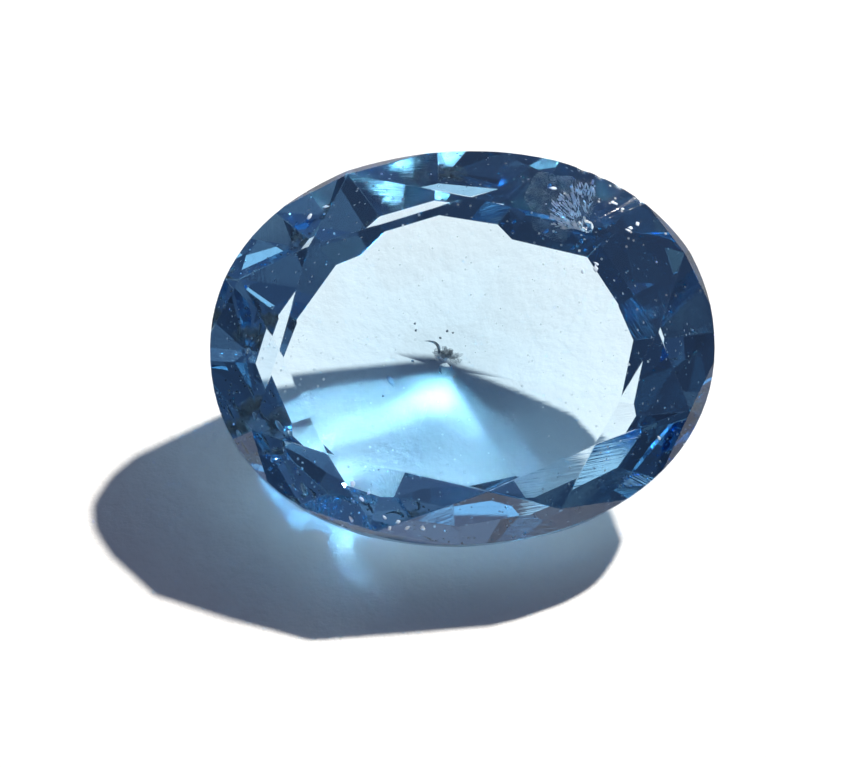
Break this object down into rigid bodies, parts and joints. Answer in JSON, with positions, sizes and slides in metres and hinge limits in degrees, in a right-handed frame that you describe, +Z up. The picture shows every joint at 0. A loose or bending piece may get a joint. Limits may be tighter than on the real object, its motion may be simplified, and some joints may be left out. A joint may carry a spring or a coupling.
{
  "type": "oval cut topaz gemstone",
  "caption": "Loose oval brilliant cut blue topaz, lying on one pavilion facet with its table leaning to the front.",
  "frame": {"origin": "middle of the stone's box, on the floor that the resting facet lies on", "axes": "+X along the oval's long side, +Z up from the floor; the table leans towards -Y"},
  "size_m": [0.009, 0.0064, 0.0048],
  "materials": {
    "topaz": "polished facets, clear blue through the body"
  },
  "bodies": {
    "root": {"topaz_stone": "topaz"}
  },
  "joints": []
}
